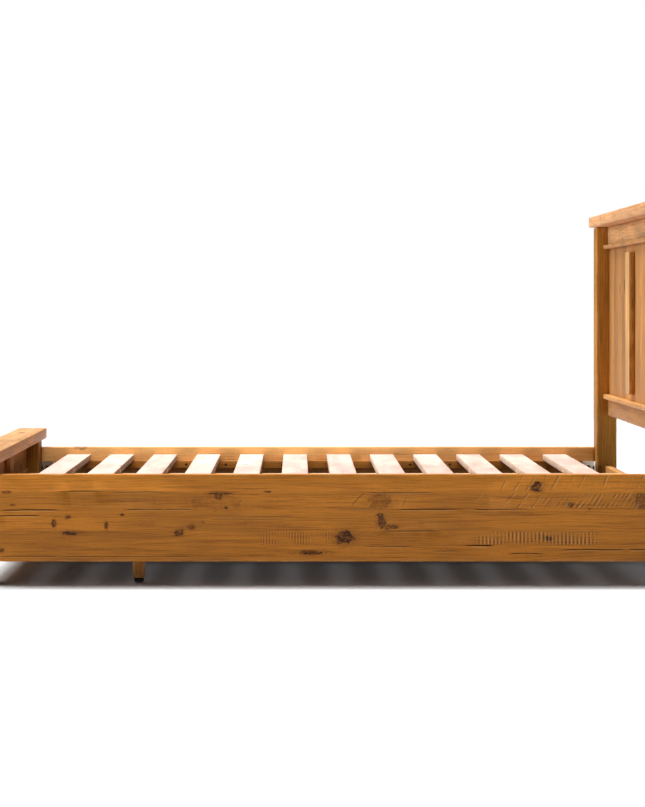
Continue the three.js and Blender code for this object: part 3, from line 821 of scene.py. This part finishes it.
def moulded_plastic(name, tint):
    """Moulded plastic with a fine pebbled skin, dusty in patches."""
    material = bpy.data.materials.new(name)
    material.use_nodes = True
    tree = material.node_tree
    place = tree.nodes.new("ShaderNodeTexCoord").outputs["Object"]
    pebble = noise(tree, place, (2400, 2400, 2400), 2.0)
    dust = fade(tree, noise(tree, place, (120, 120, 120), 4.0, 0.7), 0.5, 0.75)
    shader = tree.nodes["Principled BSDF"]
    dusty = blend(tree, calc(tree, "MULTIPLY", dust, 0.3), tint, colour(92, 86, 78))
    feed(tree, shader.inputs["Base Color"], dusty)
    feed(tree, shader.inputs["Roughness"], fade(tree, dust, 0.0, 1.0, 0.45, 0.75))
    bump = tree.nodes.new("ShaderNodeBump")
    bump.inputs["Strength"].default_value = 0.25
    bump.inputs["Distance"].default_value = 0.0002
    feed(tree, bump.inputs["Height"], pebble)
    feed(tree, shader.inputs["Normal"], bump.outputs["Normal"])
    return material


glide_plastic = moulded_plastic("glide_plastic", colour(24, 23, 22))


def round_bar(low, high, ease, sides=48):
    """An upright cylinder that fills a box, with eased rims."""
    middle = (low + high) / 2
    bpy.ops.mesh.primitive_cylinder_add(
        vertices=sides, radius=(high.x - low.x) / 2, depth=high.z - low.z, location=middle)
    bar = bpy.context.object
    bpy.ops.object.transform_apply(location=True, rotation=False, scale=False)
    bpy.ops.object.mode_set(mode="EDIT")
    bpy.ops.mesh.select_all(action="SELECT")
    bpy.ops.mesh.bevel(offset=ease, segments=3, affect="EDGES")
    bpy.ops.object.mode_set(mode="OBJECT")
    bar.select_set(False)
    return bar


for side in ("left", "right", "centre"):
    leg_node, stud_node, pad_node = f"support_leg_{side}", f"glide_stud_{side}", f"glide_pad_{side}"
    leg = plank(f"pine_leg_{side}", *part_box(leg_node), along=2, ease=0.002, step=0.015)
    build(leg, leg_node, leg_pine)
    stud_low, stud_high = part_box(stud_node)
    stud = round_bar(stud_low, stud_high, 0.0008, sides=32)
    fuse(f"threaded_stud_{side}", [stud], stud_steel, stud_node, stud_node)
    pad_low, pad_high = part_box(pad_node)
    pad = round_bar(pad_low, pad_high, 0.0022)
    fuse(f"glide_{side}", [pad], glide_plastic, pad_node, pad_node)

# CORNER BRACKETS. A folded steel angle joins each post to its rail on the inside, with three hex
# bolts and washers through each leaf. The head brackets' near-white steel is painted light, and the
# foot brackets' darker tint with heavier rust is painted shade.
lit_and_shaded_bracket_steels = {
    "head": worn_steel("bracket_steel", colour(255, 252, 244), 0.45, rust=0.12, metallic=0.05),
    # The foot brackets' darker tint and heavier rust are painted shade.
    "foot": worn_steel("painted_shade_bracket_steel", colour(132, 112, 88), 0.5, rust=0.6, metallic=0.3),
}
bolt_steel = worn_steel("bolt_steel", colour(74, 66, 58), 0.4, rust=0.5)
SHEET = 0.003
BOLT_HEIGHTS = (0.1777, 0.221, 0.2643)
BOLT_FROM_FOLD = 0.0225
WASHER_SINK = 0.0006
for end, x_sign in (("head", 1), ("foot", -1)):
    for side, y_sign in (("left", 1), ("right", -1)):
        node = f"corner_bracket_{end}_{side}"
        low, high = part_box(node)
        outer = Vector((high.x if x_sign > 0 else low.x, high.y if y_sign > 0 else low.y, 0))
        leaf_low = Vector((low.x, min(outer.y, outer.y - y_sign * SHEET), low.z))
        leaf_high = Vector((high.x, max(outer.y, outer.y - y_sign * SHEET), high.z))
        bpy.ops.mesh.primitive_cube_add(size=1, location=(leaf_low + leaf_high) / 2)
        angle = bpy.context.object
        angle.scale = leaf_high - leaf_low
        bpy.ops.object.transform_apply(location=True, rotation=False, scale=True)
        bpy.ops.object.mode_set(mode="EDIT")
        bpy.ops.mesh.select_all(action="SELECT")
        bpy.ops.mesh.bisect(plane_co=(outer.x - x_sign * SHEET, 0, 0), plane_no=(1, 0, 0))
        bpy.ops.mesh.select_mode(type="FACE")
        bpy.ops.mesh.select_all(action="DESELECT")
        bpy.ops.object.mode_set(mode="OBJECT")
        for face in angle.data.polygons:
            inward = face.normal.y * -y_sign > 0.9
            face.select = inward and abs(face.center.x - outer.x) < SHEET
        bpy.ops.object.mode_set(mode="EDIT")
        reach = Vector((0, -y_sign * (high.y - low.y - SHEET), 0))
        bpy.ops.mesh.extrude_region_move(TRANSFORM_OT_translate={"value": reach})
        bpy.ops.object.mode_set(mode="OBJECT")
        soften = angle.modifiers.new("soften", "BEVEL")
        soften.width = 0.0008
        soften.segments = 2
        soften.limit_method = "ANGLE"
        bpy.ops.object.modifier_apply(modifier="soften")
        fuse(f"angle_plate_{end}_{side}", [angle], lit_and_shaded_bracket_steels[end], node=node)
        bolts = []
        for z in BOLT_HEIGHTS:
            on_rail = Vector((outer.x - x_sign * BOLT_FROM_FOLD, outer.y - y_sign * SHEET, z))
            on_post = Vector((outer.x - x_sign * SHEET, outer.y - y_sign * BOLT_FROM_FOLD, z))
            for place, facing in ((on_rail, Vector((0, -y_sign, 0))), (on_post, Vector((-x_sign, 0, 0)))):
                bolts.append(screw_head(place, facing, radius=0.0075, depth=0.0013, socket=0.5))
                seat = place + facing * WASHER_SINK
                bolts.append(screw_head(seat, facing, radius=0.0056, depth=0.0048, sides=6, socket=0.45))
        fuse(f"bracket_bolts_{end}_{side}", bolts, bolt_steel)
